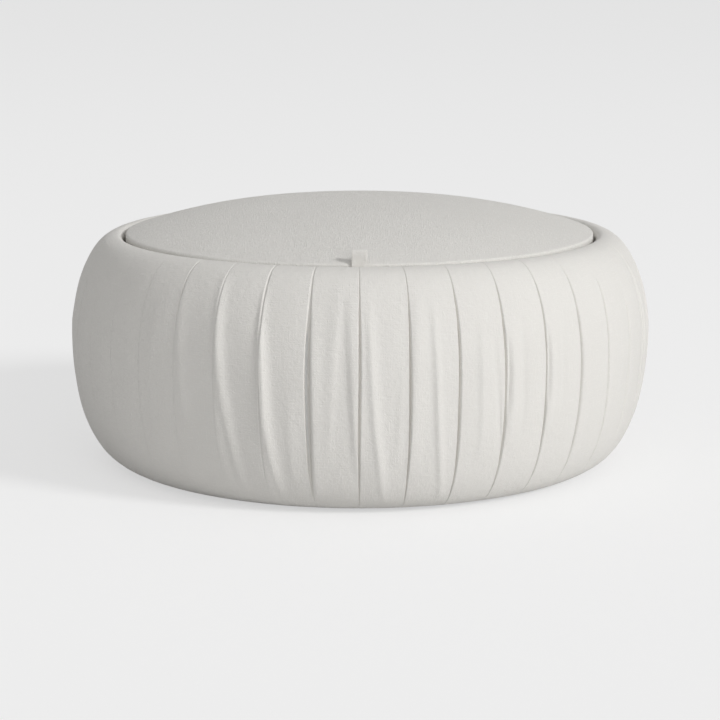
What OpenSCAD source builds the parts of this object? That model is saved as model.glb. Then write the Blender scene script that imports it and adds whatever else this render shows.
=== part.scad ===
// Low round storage pouf: a pleated cloth side over foam, and a domed padded lid that lifts off.
// The origin is on the floor under the middle, +Z is up, and the pull tab is towards -Y.

/* [Lid] */
// Diameter of the lid
lid_d = 744; // [650:2:850]
// Height of the lid's side, from its underside to its edge
lid_side_h = 45; // [34:1:50]
// Rise of the dome above the lid's edge
dome_h = 49; // [30:1:75]
// Fullness of the dome, where more is flatter in the middle
dome_power = 2.5; // [2:0.1:4]
// Radius of the rolled edge
lid_edge_r = 8; // [5:1:11]
// Radius of the lid's lower corner
lid_corner_r = 5; // [3:1:8]
// Thickness of the lid's board
lid_board_t = 15; // [9:1:18]
// Thickness of the wadding over the lid's foam
lid_wadding_t = 5; // [3:1:7]

/* [Rim] */
// Gap between the lid and the rim
groove_gap = 7; // [4:1:12]
// Radius of the padded roll along the rim
rim_roll_r = 11; // [11:1:16]
// Height of the rim's crest above the seat ring
rim_h = 43; // [30:1:50]

/* [Side] */
// How far the side bulges out past the rim's crest
belly_out = 70; // [50:1:85]
// Height of the widest place above the floor
belly_z = 204; // [160:1:240]
// Pleats in each of the four widths of cloth
pleats_per_width = 10; // [6:1:12]
// Depth of a pleat at the widest place
pleat_depth = 11; // [6:0.5:14]
// Thickness of the cover cloth
cloth_t = 1.5; // [1:0.1:2.5]
// Thickness of the wadding round the side
side_wadding_t = 6; // [4:1:9]
// Width of the hem turned in under the base board
hem_w = 33; // [25:1:45]

/* [Frame] */
// Height of the base board above the floor
glide_h = 4; // [3.5:0.5:6]
// How far the base board's edge lies inside the lid's edge
base_inset = 4; // [3:1:12]
// Thickness of the base board
board_t = 18; // [15:1:22]
// Thickness of the seat ring
ring_t = 18; // [15:1:22]
// Height of the struts between the base board and the seat ring
strut_h = 276; // [240:2:310]
// Width of a strut along the wall
strut_w = 45; // [35:1:60]
// Depth of the space that the struts stand in
strut_depth = 22; // [18:1:28]
// Thickness of the hardboard on both sides of the struts
panel_t = 3; // [2:0.5:4]
// How far the seat ring reaches into the well as a ledge
ledge_in = 13; // [10:1:20]

/* [Lining] */
// Thickness of the lining cloth
lining_t = 1.2; // [0.8:0.1:1.6]
// Thickness of the pad on the floor of the well
floor_pad_t = 6; // [4:1:9]
// Thickness of the dust cover
dust_t = 0.8; // [0.5:0.1:1]

/* [Fittings] */
// Diameter of a glide
glide_d = 24; // [20:1:30]
// Distance from the base board's edge to the middle of a glide
glide_in = 60; // [52:1:70]
// Length of a glide's nail
nail_l = 15; // [12:1:17]
// Diameter of a nail
nail_d = 2.5; // [2:0.1:3]
// Diameter of a nail's head
nail_head_d = 7; // [5:0.5:9]
// Length of a strut screw
screw_l = 50; // [40:1:60]
// Diameter of a strut screw
screw_d = 4; // [3.5:0.5:5]
// Diameter of a strut screw's head
screw_head_d = 8; // [7:0.5:10]

/* [Pull tab] */
// Width of the tab
tab_w = 22; // [16:1:30]
// Height of the tab above its sewn edge
tab_h = 20; // [16:1:30]
// Thickness of the two plies together
tab_t = 4; // [3:0.5:5]

/* [Hidden] */

// Colours
cloth_colour = "#dbdad4";
lining_colour = "#c9c4b8";
wood_colour = "#d9b98c";
panel_colour = "#a9825a";
foam_colour = "#efe6bd";
wadding_colour = "#f6f6f2";
dust_colour = "#3a3a3c";
glide_colour = "#2c2c2e";
metal_colour = "#b9bcc0";

// Counts
cover_widths = 4;
strut_n = 8;
glide_n = 6;
round_fn = 180;
small_fn = 40;

// Clearances between layers of the same body, and between the tab and what it swings past
layer_gap = 0.5;
tab_gap = 0.3;
// Bevel on the edges of the boards, and how far the side panel laps the base board's edge
board_bevel = 2;
panel_lap = 10;
// How far the dust cover laps over the hem, and the step down onto the hem
dust_lap = 10;
dust_step = 3;
// How far the lid's hem reaches in past the ledge, and how far its lining laps over the hem
lid_hem_in = 12;
lid_lap = 8;
// Height of a nail's head and of a screw's head
nail_head_h = 1;
screw_head_h = 2.5;
// Crown of a glide's face, and the width of its edge
glide_crown = 1.2;
// Slit between the tab's two plies, the eye inside the fold, and the swell of the fold
tab_slit = 0.6;
tab_eye_r = 1.1;
tab_fold_r = 2.6;

// Roundness of the side above and below its widest place
upper_power = 2;
lower_power = 2.3;
// Steps round the quarter above and the quarter below the widest place
side_steps = 5;
// Steps along the dome and round the lid's edges
dome_steps = 10;
edge_steps = 5;

// Depth of the pleats at each place along the side, from the groove over the rim to the hem
pleat_depth_shares = [0.06, 0.09, 0.12, 0.17, 0.33, 0.55, 0.78, 0.95, 1, 0.96, 0.82, 0.55, 0.22, 0, 0];
// Places across one pleat, and how far each lies in from the pleat's ridge
pleat_place_shares = [0, 0.12, 0.5, 0.9];
pleat_hollow_shares = [1, 0, 0.12, 0.5];

// Radii
lid_r = lid_d / 2;
rim_in_r = lid_r + groove_gap;
rim_r = rim_in_r + rim_roll_r;
body_r = rim_r + belly_out;
base_r = lid_r - base_inset;
strut_in_r = base_r - strut_depth;
well_r = strut_in_r - panel_t;
ring_in_r = well_r - ledge_in;
hem_in_r = base_r - hem_w;
glide_circle_r = base_r - glide_in;
screw_circle_r = strut_in_r + strut_depth / 2;
lid_hem_r = ring_in_r - lid_hem_in;
lid_board_r = lid_r - cloth_t - layer_gap - lid_wadding_t;

// Heights
board_top_z = glide_h + board_t;
ring_z = board_top_z + strut_h;
ring_top_z = ring_z + ring_t;
rim_z = ring_top_z + rim_h;
hem_z = glide_h - cloth_t;
panel_z = board_top_z - panel_lap;
lid_z = ring_top_z + lining_t;
lid_board_z = lid_z + cloth_t;
lid_foam_z = lid_board_z + lid_board_t;
lid_edge_z = lid_z + lid_side_h;

// The dome meets the rolled edge at the same slope
edge_slope = atan(dome_h * dome_power / lid_r);
dome_r = lid_r - lid_edge_r * (1 - sin(edge_slope));
edge_centre = [lid_r - lid_edge_r, lid_edge_z - lid_edge_r * cos(edge_slope)];

// The tab's sewn edge lies half way round the rolled edge
tab_place = 45;
tab_reach = lid_edge_r + tab_gap + tab_t / 2;
tab_pivot = edge_centre + tab_reach * [cos(tab_place), sin(tab_place)];

// Angle of one pleat, measured from the front towards +X, and of the first join between widths
pleat_angle = 360 / (cover_widths * pleats_per_width);
first_join = 45;

// Paths run over the top, out and down, so that the outside is on their left

function path_out(path, i) =
  let (step = path[min(i + 1, len(path) - 1)] - path[max(i - 1, 0)], along = step / norm(step))
  [-along[1], along[0]];

// A path moved in by one depth for each of its points
function inset_path(path, depths) =
  [for (i = [0 : len(path) - 1]) let (p = path[i] - depths[i] * path_out(path, i)) [max(p[0], 0), p[1]]];

// The same depth for every point of a path
function even(path, depth) = [for (p = path) depth];

function reversed(list) = [for (i = [len(list) - 1 : -1 : 0]) list[i]];

// A quarter of a rounded box: angle 90 is its top or foot, angle 0 its widest place
function quarter(in_r, out_r, wide_z, end_z, power, angle) =
  [in_r + (out_r - in_r) * pow(cos(angle), 2 / power),
   wide_z + (end_z - wide_z) * pow(sin(angle), 2 / power)];

// The side's outer line, from the groove over the rim and the belly to the hem under the board
function side_path() = concat(
  [[rim_in_r, ring_top_z]],
  [for (a = [180 : -45 : 90]) [rim_r + rim_roll_r * cos(a), rim_z - rim_roll_r + rim_roll_r * sin(a)]],
  [for (i = [side_steps - 1 : -1 : 1]) quarter(rim_r, body_r, belly_z, rim_z, upper_power, 90 * i / side_steps)],
  [[body_r, belly_z]],
  [for (i = [1 : side_steps - 1]) quarter(base_r, body_r, belly_z, hem_z, lower_power, 90 * i / side_steps)],
  [[base_r, hem_z], [hem_in_r, hem_z]]);

// Depth of the cover's inner face, and of the wadding's two faces, behind the side's outer line
function cover_depths() = [for (share = pleat_depth_shares) cloth_t + share * pleat_depth];
function wadding_depths(extra) = [for (depth = cover_depths()) depth + layer_gap + extra];

// The lid's outer line from its middle over the edge and down its side
function lid_top_path() = concat(
  [for (i = [0 : dome_steps]) let (r = dome_r * i / dome_steps)
    [r, lid_edge_z + dome_h * (1 - pow(r / dome_r, dome_power))]],
  [for (i = [1 : edge_steps]) let (a = (90 - edge_slope) * (1 - i / edge_steps))
    edge_centre + lid_edge_r * [cos(a), sin(a)]],
  [[lid_r, lid_z + lid_corner_r]]);

// The whole line, on round the lower corner to the hem under the board
function lid_path() = concat(
  lid_top_path(),
  [for (i = [1 : edge_steps]) let (a = -90 * i / edge_steps)
    [lid_r - lid_corner_r, lid_z + lid_corner_r] + lid_corner_r * [cos(a), sin(a)]],
  [[lid_hem_r, lid_z]]);

module turned() {
  rotate_extrude($fn = round_fn) children();
}

// A layer between two lines at even or varying depths behind a path
module layer_section(path, outer_depths, inner_depths) {
  polygon(concat(inset_path(path, outer_depths), reversed(inset_path(path, inner_depths))));
}

// Everything inside a line at a depth behind a path, as far in as the axis
module filled_section(path, depths) {
  line = inset_path(path, depths);
  polygon(concat(line, [[0, line[len(line) - 1][1]], [0, line[0][1]]]));
}

module rectangle(in_r, out_r, low_z, high_z) {
  translate([in_r, low_z]) square([out_r - in_r, high_z - low_z]);
}

// A board's section with its outer edges bevelled
module board_section(in_r, out_r, low_z, high_z) {
  polygon([[in_r, low_z], [out_r - board_bevel, low_z], [out_r, low_z + board_bevel],
    [out_r, high_z - board_bevel], [out_r - board_bevel, high_z], [in_r, high_z]]);
}

// The room that the frame takes from the padding
module frame_room() {
  rectangle(0, base_r, 0, ring_z);
  rectangle(0, base_r + panel_t, panel_z, ring_z);
  rectangle(0, rim_r, ring_z, ring_top_z);
}

module at_angle(a) {
  rotate([0, 0, a]) children();
}

// Frame

module base_board() {
  color(wood_colour) turned() board_section(0, base_r, glide_h, board_top_z);
}

module strut(i) {
  face_r = sqrt(pow(base_r, 2) - pow(strut_w / 2, 2));
  color(wood_colour) at_angle((i - 1 / 2) * 360 / strut_n)
    translate([strut_in_r, -strut_w / 2, board_top_z]) cube([face_r - strut_in_r, strut_w, strut_h]);
}

module seat_ring() {
  color(wood_colour) turned() board_section(ring_in_r, rim_r, ring_z, ring_top_z);
}

module side_panel() {
  color(panel_colour) turned() rectangle(base_r, base_r + panel_t, panel_z, ring_z);
}

module well_wall() {
  color(panel_colour) turned() rectangle(well_r, strut_in_r, board_top_z, ring_z);
}

// A countersunk screw along +Z, with its head at the origin
module screw() {
  cylinder(d1 = screw_head_d, d2 = screw_d, h = screw_head_h, $fn = small_fn);
  cylinder(d = screw_d, h = screw_l, $fn = small_fn);
}

module strut_screws() {
  color(metal_colour) for (i = [1 : strut_n]) at_angle((i - 1 / 2) * 360 / strut_n) {
    translate([screw_circle_r, 0, glide_h]) screw();
    translate([screw_circle_r, 0, ring_top_z]) mirror([0, 0, 1]) screw();
  }
}

// Padding

module side_foam() {
  color(foam_colour) turned() difference() {
    intersection() {
      filled_section(side_path(), wadding_depths(side_wadding_t));
      rectangle(base_r, body_r, 0, ring_top_z);
    }
    frame_room();
  }
}

module rim_foam() {
  color(foam_colour) turned() intersection() {
    filled_section(side_path(), wadding_depths(side_wadding_t));
    rectangle(rim_in_r, body_r, ring_top_z, rim_z);
  }
}

module side_wadding() {
  color(wadding_colour) turned() difference() {
    layer_section(side_path(), wadding_depths(0), wadding_depths(side_wadding_t));
    frame_room();
  }
}

// Pleated cover

// Columns of one width: place in pleats from its first join, and how far it lies in from the ridge
function cover_columns() = concat(
  [for (pleat = [0 : pleats_per_width - 1]) for (j = [0 : len(pleat_place_shares) - 1])
    [pleat + pleat_place_shares[j], pleat_hollow_shares[j]]],
  [[pleats_per_width, 1]]);

function round_the_axis(p, a) = [p[0] * sin(a), -p[0] * cos(a), p[1]];

// One width of cloth as a closed skin. Its inner face has every second column of its outer face.
module cover_width(number) {
  path = side_path();
  rings = len(path);
  columns = cover_columns();
  last = len(columns) - 1;
  start = first_join + (number - 1) * 360 / cover_widths;
  outer_lines = [for (c = columns)
    inset_path(path, [for (share = pleat_depth_shares) share * pleat_depth * c[1]])];
  inner_line = inset_path(path, cover_depths());
  outer_points = [for (c = [0 : last]) for (i = [0 : rings - 1])
    round_the_axis(outer_lines[c][i], start + columns[c][0] * pleat_angle)];
  inner_points = [for (c = [0 : 2 : last]) for (i = [0 : rings - 1])
    round_the_axis(inner_line[i], start + columns[c][0] * pleat_angle)];
  inner_start = (last + 1) * rings;
  outer_faces = [for (c = [0 : last - 1]) for (i = [0 : rings - 2])
    let (a = c * rings + i, d = a + rings)
    each [[a, d, d + 1], [a, d + 1, a + 1]]];
  inner_faces = [for (c = [0 : last / 2 - 1]) for (i = [0 : rings - 2])
    let (a = inner_start + c * rings + i, d = a + rings)
    each [[a, d + 1, d], [a, a + 1, d + 1]]];
  foot_faces = [for (c = [0 : last / 2 - 1])
    let (a = inner_start + c * rings, b = a + rings, o = 2 * c * rings)
    each [[o + rings, o, a], [a, b, o + rings], [o + 2 * rings, o + rings, b]]];
  hem_faces = [for (c = [0 : last / 2 - 1])
    let (a = inner_start + (c + 1) * rings - 1, b = a + rings, o = (2 * c + 1) * rings - 1)
    each [[o, o + rings, a], [o + rings, b, a], [o + rings, o + 2 * rings, b]]];
  first_faces = [for (i = [0 : rings - 2]) let (o = i, n = inner_start + i)
    each [[o, o + 1, n], [o + 1, n + 1, n]]];
  last_faces = [for (i = [0 : rings - 2])
    let (o = last * rings + i, n = inner_start + last / 2 * rings + i)
    each [[o, n, o + 1], [o + 1, n, n + 1]]];
  color(cloth_colour) polyhedron(concat(outer_points, inner_points),
    concat(outer_faces, inner_faces, foot_faces, hem_faces, first_faces, last_faces), convexity = 6);
}

// Linings

module ledge_cloth() {
  color(lining_colour) turned() {
    rectangle(ring_in_r - lining_t, rim_in_r - layer_gap, ring_top_z, lid_z);
    rectangle(ring_in_r - lining_t, ring_in_r, ring_z - lining_t, lid_z);
  }
}

module well_lining() {
  color(lining_colour) turned() {
    rectangle(well_r - lining_t, well_r, board_top_z, ring_z);
    rectangle(ring_in_r, well_r, ring_z - lining_t, ring_z);
  }
}

module floor_pad() {
  color(lining_colour) turned() rectangle(0, well_r - lining_t - layer_gap, board_top_z, board_top_z + floor_pad_t);
}

module dust_cover() {
  step_r = hem_in_r - dust_step;
  lap_r = hem_in_r + dust_lap;
  color(dust_colour) turned()
    polygon([[0, glide_h - dust_t], [step_r - dust_step, glide_h - dust_t], [step_r, hem_z - dust_t],
      [lap_r, hem_z - dust_t], [lap_r, hem_z], [step_r, hem_z], [step_r - dust_step, glide_h], [0, glide_h]]);
}

// Glides

// A flat-headed nail along +Z, with its head at the origin
module nail() {
  cylinder(d = nail_head_d, h = nail_head_h, $fn = small_fn);
  cylinder(d = nail_d, h = nail_l, $fn = small_fn);
}

module glide(i) {
  r = glide_d / 2;
  top_z = glide_h - dust_t;
  color(glide_colour) at_angle(i * 360 / glide_n) translate([glide_circle_r, 0, 0]) difference() {
    rotate_extrude($fn = small_fn)
      polygon([[0, 0], [r * 2 / 3, 0], [r, glide_crown], [r, top_z], [0, top_z]]);
    translate([0, 0, nail_z()]) nail();
  }
}

// The nail's head sits in the glide, as deep as the glide's crown
function nail_z() = glide_crown;

module glide_nails() {
  color(metal_colour) for (i = [1 : glide_n]) at_angle(i * 360 / glide_n)
    translate([glide_circle_r, 0, nail_z()]) nail();
}

// Lid

module lid_board() {
  color(wood_colour) turned() rectangle(0, lid_board_r, lid_board_z, lid_foam_z);
}

module lid_foam() {
  path = lid_top_path();
  color(foam_colour) turned() intersection() {
    filled_section(path, even(path, lid_r - lid_board_r));
    rectangle(0, lid_r, lid_foam_z, lid_edge_z + dome_h);
  }
}

module lid_wadding() {
  path = lid_top_path();
  color(wadding_colour) turned()
    layer_section(path, even(path, cloth_t + layer_gap), even(path, lid_r - lid_board_r));
}

module lid_cover() {
  path = lid_path();
  color(cloth_colour) turned() layer_section(path, even(path, 0), even(path, cloth_t));
}

module lid_under_cloth() {
  flat_r = lid_hem_r - dust_step;
  color(lining_colour) turned()
    polygon([[0, lid_board_z - lining_t], [flat_r - dust_step, lid_board_z - lining_t],
      [flat_r, lid_z - lining_t], [lid_hem_r + lid_lap, lid_z - lining_t], [lid_hem_r + lid_lap, lid_z],
      [flat_r, lid_z], [flat_r - dust_step, lid_board_z], [0, lid_board_z]]);
}

// Pull tab: two plies joined by a fold at the top, round at the sewn edge

module tab_outline() {
  fold_y = tab_h - tab_fold_r;
  difference() {
    union() {
      circle(d = tab_t, $fn = small_fn);
      translate([-tab_t / 2, 0]) square([tab_t, fold_y]);
      translate([0, fold_y]) circle(r = tab_fold_r, $fn = small_fn);
    }
    translate([-tab_slit / 2, tab_t / 2]) square([tab_slit, fold_y - tab_t / 2]);
    translate([0, fold_y]) circle(r = tab_eye_r, $fn = small_fn);
  }
}

module pull_tab() {
  color(cloth_colour) translate([-tab_w / 2, -tab_pivot[0], tab_pivot[1]])
    rotate([90, 0, 90]) linear_extrude(tab_w) tab_outline();
}

base_board();
strut(1);  // strut_1
strut(2);  // strut_2
strut(3);  // strut_3
strut(4);  // strut_4
strut(5);  // strut_5
strut(6);  // strut_6
strut(7);  // strut_7
strut(8);  // strut_8
seat_ring();
side_panel();
well_wall();
side_foam();
rim_foam();
side_wadding();
cover_width(1);  // cover_width_1
cover_width(2);  // cover_width_2
cover_width(3);  // cover_width_3
cover_width(4);  // cover_width_4
ledge_cloth();
well_lining();
floor_pad();
dust_cover();
glide(1);  // glide_1
glide(2);  // glide_2
glide(3);  // glide_3
glide(4);  // glide_4
glide(5);  // glide_5
glide(6);  // glide_6
glide_nails();
strut_screws();
lid_board();
lid_foam();
lid_wadding();
lid_cover();
lid_under_cloth();
pull_tab();
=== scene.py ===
# Low round storage pouf: a pleated cloth side over foam, and a domed padded lid that lifts off.
# It is dressed in the order in which it is put together. Lengths are in metres, and angles
# round the pouf are measured from the front, where the pull tab is, towards +X.
import bpy
import numpy as np
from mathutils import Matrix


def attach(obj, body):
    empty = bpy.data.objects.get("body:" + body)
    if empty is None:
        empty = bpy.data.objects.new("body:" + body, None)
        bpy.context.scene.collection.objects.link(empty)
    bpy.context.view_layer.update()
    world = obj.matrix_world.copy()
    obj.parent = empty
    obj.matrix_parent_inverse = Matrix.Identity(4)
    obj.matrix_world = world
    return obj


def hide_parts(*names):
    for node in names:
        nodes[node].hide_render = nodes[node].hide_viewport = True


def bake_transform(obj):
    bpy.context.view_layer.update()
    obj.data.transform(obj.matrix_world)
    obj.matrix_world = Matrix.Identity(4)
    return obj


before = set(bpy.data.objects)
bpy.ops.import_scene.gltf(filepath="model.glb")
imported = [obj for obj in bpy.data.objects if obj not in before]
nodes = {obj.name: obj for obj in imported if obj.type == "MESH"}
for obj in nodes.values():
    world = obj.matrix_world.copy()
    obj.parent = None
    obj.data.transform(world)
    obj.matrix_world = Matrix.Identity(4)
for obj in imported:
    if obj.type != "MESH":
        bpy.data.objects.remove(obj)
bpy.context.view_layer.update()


# Base board, seat ring and lid board
# Three discs sawn from birch plywood, the ring with a hole for the well. Their faces show the
# flat grain of the top veneer, and their sawn edges show the thin crossed layers.

def add(tree, kind, inputs=(), **settings):
    """One shader node, with its settings, and its inputs (by name or number) linked or filled."""
    node = tree.nodes.new("ShaderNode" + kind)
    for name, value in settings.items():
        setattr(node, name, value)
    for name, value in dict(inputs).items():
        if isinstance(value, bpy.types.NodeSocket):
            tree.links.new(value, node.inputs[name])
        else:
            node.inputs[name].default_value = value
    return node


def calc(tree, operation, *values):
    """The result of one Math node."""
    return add(tree, "Math", enumerate(values), operation=operation).outputs[0]


def weighted(tree, first, weight, second, other_weight=1.0):
    """The sum of two values, each times a weight of its own."""
    if other_weight != 1.0:
        second = calc(tree, "MULTIPLY", second, other_weight)
    return calc(tree, "MULTIPLY_ADD", first, weight, second)


def ramp(tree, value, low, high, start=0.0, end=1.0):
    """A value carried smoothly from low..high to start..end, and held beyond them."""
    return add(tree, "MapRange", {"Value": value, "From Min": low, "From Max": high,
               "To Min": start, "To Max": end}, interpolation_type="SMOOTHSTEP").outputs[0]


def blend_colours(tree, share, first, second):
    """The first colour at share 0, the second at share 1; a colour given as numbers is opaque."""
    first, second = ((*colour, 1) if isinstance(colour, tuple) else colour for colour in (first, second))
    return add(tree, "Mix", {0: share, 6: first, 7: second}, data_type="RGBA").outputs[2]


def stretched(tree, place, scale):
    """Coordinates multiplied by a scale for each direction."""
    return add(tree, "VectorMath", {0: place, 1: scale}, operation="MULTIPLY").outputs[0]


def noise(tree, place, scale, detail=3.0, roughness=0.55, distortion=0.0):
    """Soft noise from 0 to 1 at a scale of so many lumps to the metre."""
    return add(tree, "TexNoise", {"Vector": place, "Scale": scale, "Detail": detail,
               "Roughness": roughness, "Distortion": distortion}).outputs[0]


def new_group(name, inputs, outputs):
    """An empty shader group; each input is (name, kind, value), and each output (name, kind)."""
    tree = bpy.data.node_groups.new(name, "ShaderNodeTree")
    for title, kind, value in inputs:
        socket = tree.interface.new_socket(title, in_out="INPUT", socket_type="NodeSocket" + kind)
        if value is not None:
            socket.default_value = value
    for title, kind in outputs:
        tree.interface.new_socket(title, in_out="OUTPUT", socket_type="NodeSocket" + kind)
    return tree, tree.nodes.new("NodeGroupInput").outputs, tree.nodes.new("NodeGroupOutput").inputs


def use_group(tree, group, **inputs):
    """The outputs of a group placed in a material, with its inputs linked or filled."""
    return add(tree, "Group", inputs, node_tree=group).outputs


def new_material(name):
    """A material with one Principled surface; gives the material, its tree and the surface."""
    material = bpy.data.materials.new(name)
    material.use_nodes = True
    tree = material.node_tree
    return material, tree, tree.nodes["Principled BSDF"]


def own_place(tree):
    """The piece's own coordinates in metres."""
    return add(tree, "TexCoord").outputs["Object"]


def separated(tree, vector):
    """The three parts of a vector."""
    return add(tree, "SeparateXYZ", {0: vector}).outputs


def finish(tree, surface, colour, roughness, height, relief, strength):
    """Gives a surface its colour, its roughness, and a relief of so many metres."""
    tree.links.new(colour, surface.inputs["Base Color"])
    tree.links.new(roughness, surface.inputs["Roughness"])
    bump = add(tree, "Bump", {"Height": height, "Distance": relief, "Strength": strength})
    tree.links.new(bump.outputs[0], surface.inputs["Normal"])


def dress(material, *names):
    """Gives CAD nodes a material in place of their plain one."""
    for name in names:
        slots = nodes[name].data.materials
        slots.clear()
        slots.append(material)


# Grain runs along X of the coordinates that the group is given
wood_grain, given, put = new_group("wood grain", [("Place", "Vector", None), ("Bands", "Float", 14.0)],
                                   [("Streak", "Float"), ("Height", "Float")])
bands = add(wood_grain, "TexWave", {"Vector": stretched(wood_grain, given["Place"], (0.12, 1, 1)),
            "Scale": given["Bands"], "Distortion": 7.0, "Detail": 3.0, "Detail Scale": 1.6,
            "Detail Roughness": 0.6}, bands_direction="Y").outputs[1]
fibres = noise(wood_grain, stretched(wood_grain, given["Place"], (18, 900, 900)), 1.0, 4.0, 0.6)
wood_grain.links.new(weighted(wood_grain, bands, 0.45, fibres, 0.55), put["Streak"])
wood_grain.links.new(fibres, put["Height"])

veneer_t = 0.0018
plywood, tree, surface = new_material("plywood")
place = own_place(tree)
parts = separated(tree, place)
veneer = use_group(tree, wood_grain, Place=place, Bands=9.0)
face_colour = blend_colours(tree, veneer["Streak"], (0.72, 0.52, 0.31), (0.55, 0.35, 0.17))
layer = calc(tree, "PINGPONG", calc(tree, "DIVIDE", parts[2], veneer_t), 1.0)
round_place = add(tree, "CombineXYZ", {0: calc(tree, "ARCTAN2", parts[1], parts[0]),
                  1: parts[2], 2: parts[2]}).outputs[0]
edge_streak = noise(tree, stretched(tree, round_place, (120, 4000, 4000)), 1.0, 2.0)
edge_share = weighted(tree, ramp(tree, layer, 0.42, 0.58), 0.75, edge_streak, 0.3)
edge_colour = blend_colours(tree, edge_share, (0.62, 0.42, 0.23), (0.30, 0.17, 0.08))
facing = separated(tree, add(tree, "TexCoord").outputs["Normal"])[2]
on_edge = ramp(tree, calc(tree, "ABSOLUTE", facing), 0.95, 0.6)
finish(tree, surface, blend_colours(tree, on_edge, face_colour, edge_colour),
       ramp(tree, veneer["Streak"], 0, 1, 0.5, 0.68), veneer["Height"], 0.00015, 0.5)
dress(plywood, "base_board", "seat_ring", "lid_board")


# Struts
# Eight upright battens of planed pine between the base board and the seat ring, each held by a
# screw at both ends. The grain runs up them.

pine, tree, surface = new_material("planed pine")
parts = separated(tree, own_place(tree))
upright = add(tree, "CombineXYZ", {0: parts[2], 1: parts[0], 2: parts[1]}).outputs[0]
grain = use_group(tree, wood_grain, Place=upright, Bands=26.0)
knots = add(tree, "TexVoronoi", {"Vector": stretched(tree, upright, (5, 9, 9)), "Scale": 1.0}).outputs[0]
sapwood = blend_colours(tree, grain["Streak"], (0.80, 0.60, 0.36), (0.60, 0.37, 0.17))
finish(tree, surface, blend_colours(tree, ramp(tree, knots, 0.13, 0.05), sapwood, (0.25, 0.12, 0.05)),
       ramp(tree, grain["Streak"], 0, 1, 0.48, 0.62), grain["Height"], 0.0002, 0.5)
dress(pine, *[f"strut_{i}" for i in range(1, 9)])


# Side panel and well wall
# Two sheets of thin hardboard bent round the struts, outside and inside, and tacked on. Pressed
# brown fibre, smooth, with darker flecks in it.

hardboard, tree, surface = new_material("hardboard")
place = own_place(tree)
fleck = noise(tree, stretched(tree, place, (1, 1, 2.5)), 420.0, 2.0, 0.7)
fibre = weighted(tree, noise(tree, place, 14.0, 5.0), 0.6, fleck, 0.45)
finish(tree, surface, blend_colours(tree, fibre, (0.36, 0.20, 0.10), (0.17, 0.085, 0.04)),
       ramp(tree, fleck, 0.3, 0.7, 0.42, 0.62), fleck, 0.00012, 0.6)
dress(hardboard, "side_panel", "well_wall")


# Screws and nails
# Sixteen countersunk screws through the boards into the struts, and a flat-headed nail in the
# middle of each glide. Zinc-plated steel, dull and slightly cloudy.

zinc, tree, surface = new_material("zinc-plated steel")
cloud = noise(tree, own_place(tree), 700.0, 3.0, 0.6)
finish(tree, surface, blend_colours(tree, cloud, (0.50, 0.51, 0.53), (0.68, 0.68, 0.66)),
       ramp(tree, cloud, 0.3, 0.7, 0.28, 0.46), cloud, 0.00003, 0.5)
surface.inputs["Metallic"].default_value = 1.0
dress(zinc, "strut_screws", "glide_nails")


# Foam round the side and along the rim
# Blocks of cut upholstery foam glued round the side panel, with their joins showing as shallow
# lines, and a softer roll glued on the seat ring to make the rim.

import bmesh

groove_r, rim_r, belly_r, base_r, hem_r = 0.379, 0.390, 0.460, 0.368, 0.335
seat_z, rim_z, belly_z, hem_z, roll_r = 0.316, 0.359, 0.204, 0.0025, 0.011
ring_under_z, panel_r = 0.298, 0.371
cloth_t, pleat_depth, wadding_t = 0.0015, 0.011, 0.006
slack, gap = 0.0005, 0.0003
pleat_shares = np.array([0.06, 0.09, 0.12, 0.17, 0.33, 0.55, 0.78, 0.95, 1, 0.96, 0.82, 0.55, 0.22, 0, 0])


def length_along(first, second):
    """How far along a line each of its points is, from two rows of coordinates."""
    return np.concatenate([[0], np.cumsum(np.hypot(np.diff(first), np.diff(second)))])


def side_line():
    """The side's outer line and how far along it each point is. From the foot of the groove it
    goes straight up, a quarter of the way round the rim's roll, out and down a quarter of an
    ellipse, in and down a quarter whose radius and height grow as the 2/2.3 power of cosine and
    sine, and in along the hem. The last array counts the source's fifteen stations along it."""
    turn = np.radians(np.linspace(180, 90, 60))
    fall = np.radians(np.linspace(90, 0, 200))
    rise = fall[::-1]
    radius = np.concatenate([[groove_r], rim_r + roll_r * np.cos(turn),
                             (rim_r + (belly_r - rim_r) * np.cos(fall))[1:],
                             (base_r + (belly_r - base_r) * np.cos(rise) ** (2 / 2.3))[1:], [hem_r]])
    height = np.concatenate([[seat_z], rim_z - roll_r + roll_r * np.sin(turn),
                             (belly_z + (rim_z - belly_z) * np.sin(fall))[1:],
                             (belly_z - (belly_z - hem_z) * np.sin(rise) ** (2 / 2.3))[1:], [hem_z]])
    station = np.concatenate([[0], np.linspace(1, 3, 60), np.linspace(3, 8, 200)[1:],
                              np.linspace(8, 13, 200)[1:], [14]])
    return radius, height, length_along(radius, height), station


def placed_along(places, radius, height, along, near):
    """Points of a line at places along it, and the outward direction there, which is square to
    the step from a little before each place to a little after it."""
    r, z = np.interp(places, along, radius), np.interp(places, along, height)
    dr = np.interp(places + near, along, radius) - np.interp(places - near, along, radius)
    dz = np.interp(places + near, along, height) - np.interp(places - near, along, height)
    size = np.hypot(dr, dz)
    return r, z, -dz / size, dr / size


def line_at(places):
    """Points of the side's line, the outward direction there, and the pleats' depth, at places
    along it."""
    radius, height, along, station = side_line()
    deep = pleat_depth * np.interp(np.interp(places, along, station), np.arange(15), pleat_shares)
    return *placed_along(places, radius, height, along, 0.0012), deep


def turned(radius, height, angles):
    """Points of a line turned about the upright axis: x = r sin a, y = -r cos a. The radius and
    the height are one value for each row, or one for each row and column."""
    radius, height = (values if np.ndim(values) == 2 else np.asarray(values)[:, None]
                      for values in (radius, height))
    radius, height, angles = np.broadcast_arrays(radius, height, angles)
    return np.stack([radius * np.sin(angles), -radius * np.cos(angles), height], axis=-1)


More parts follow.
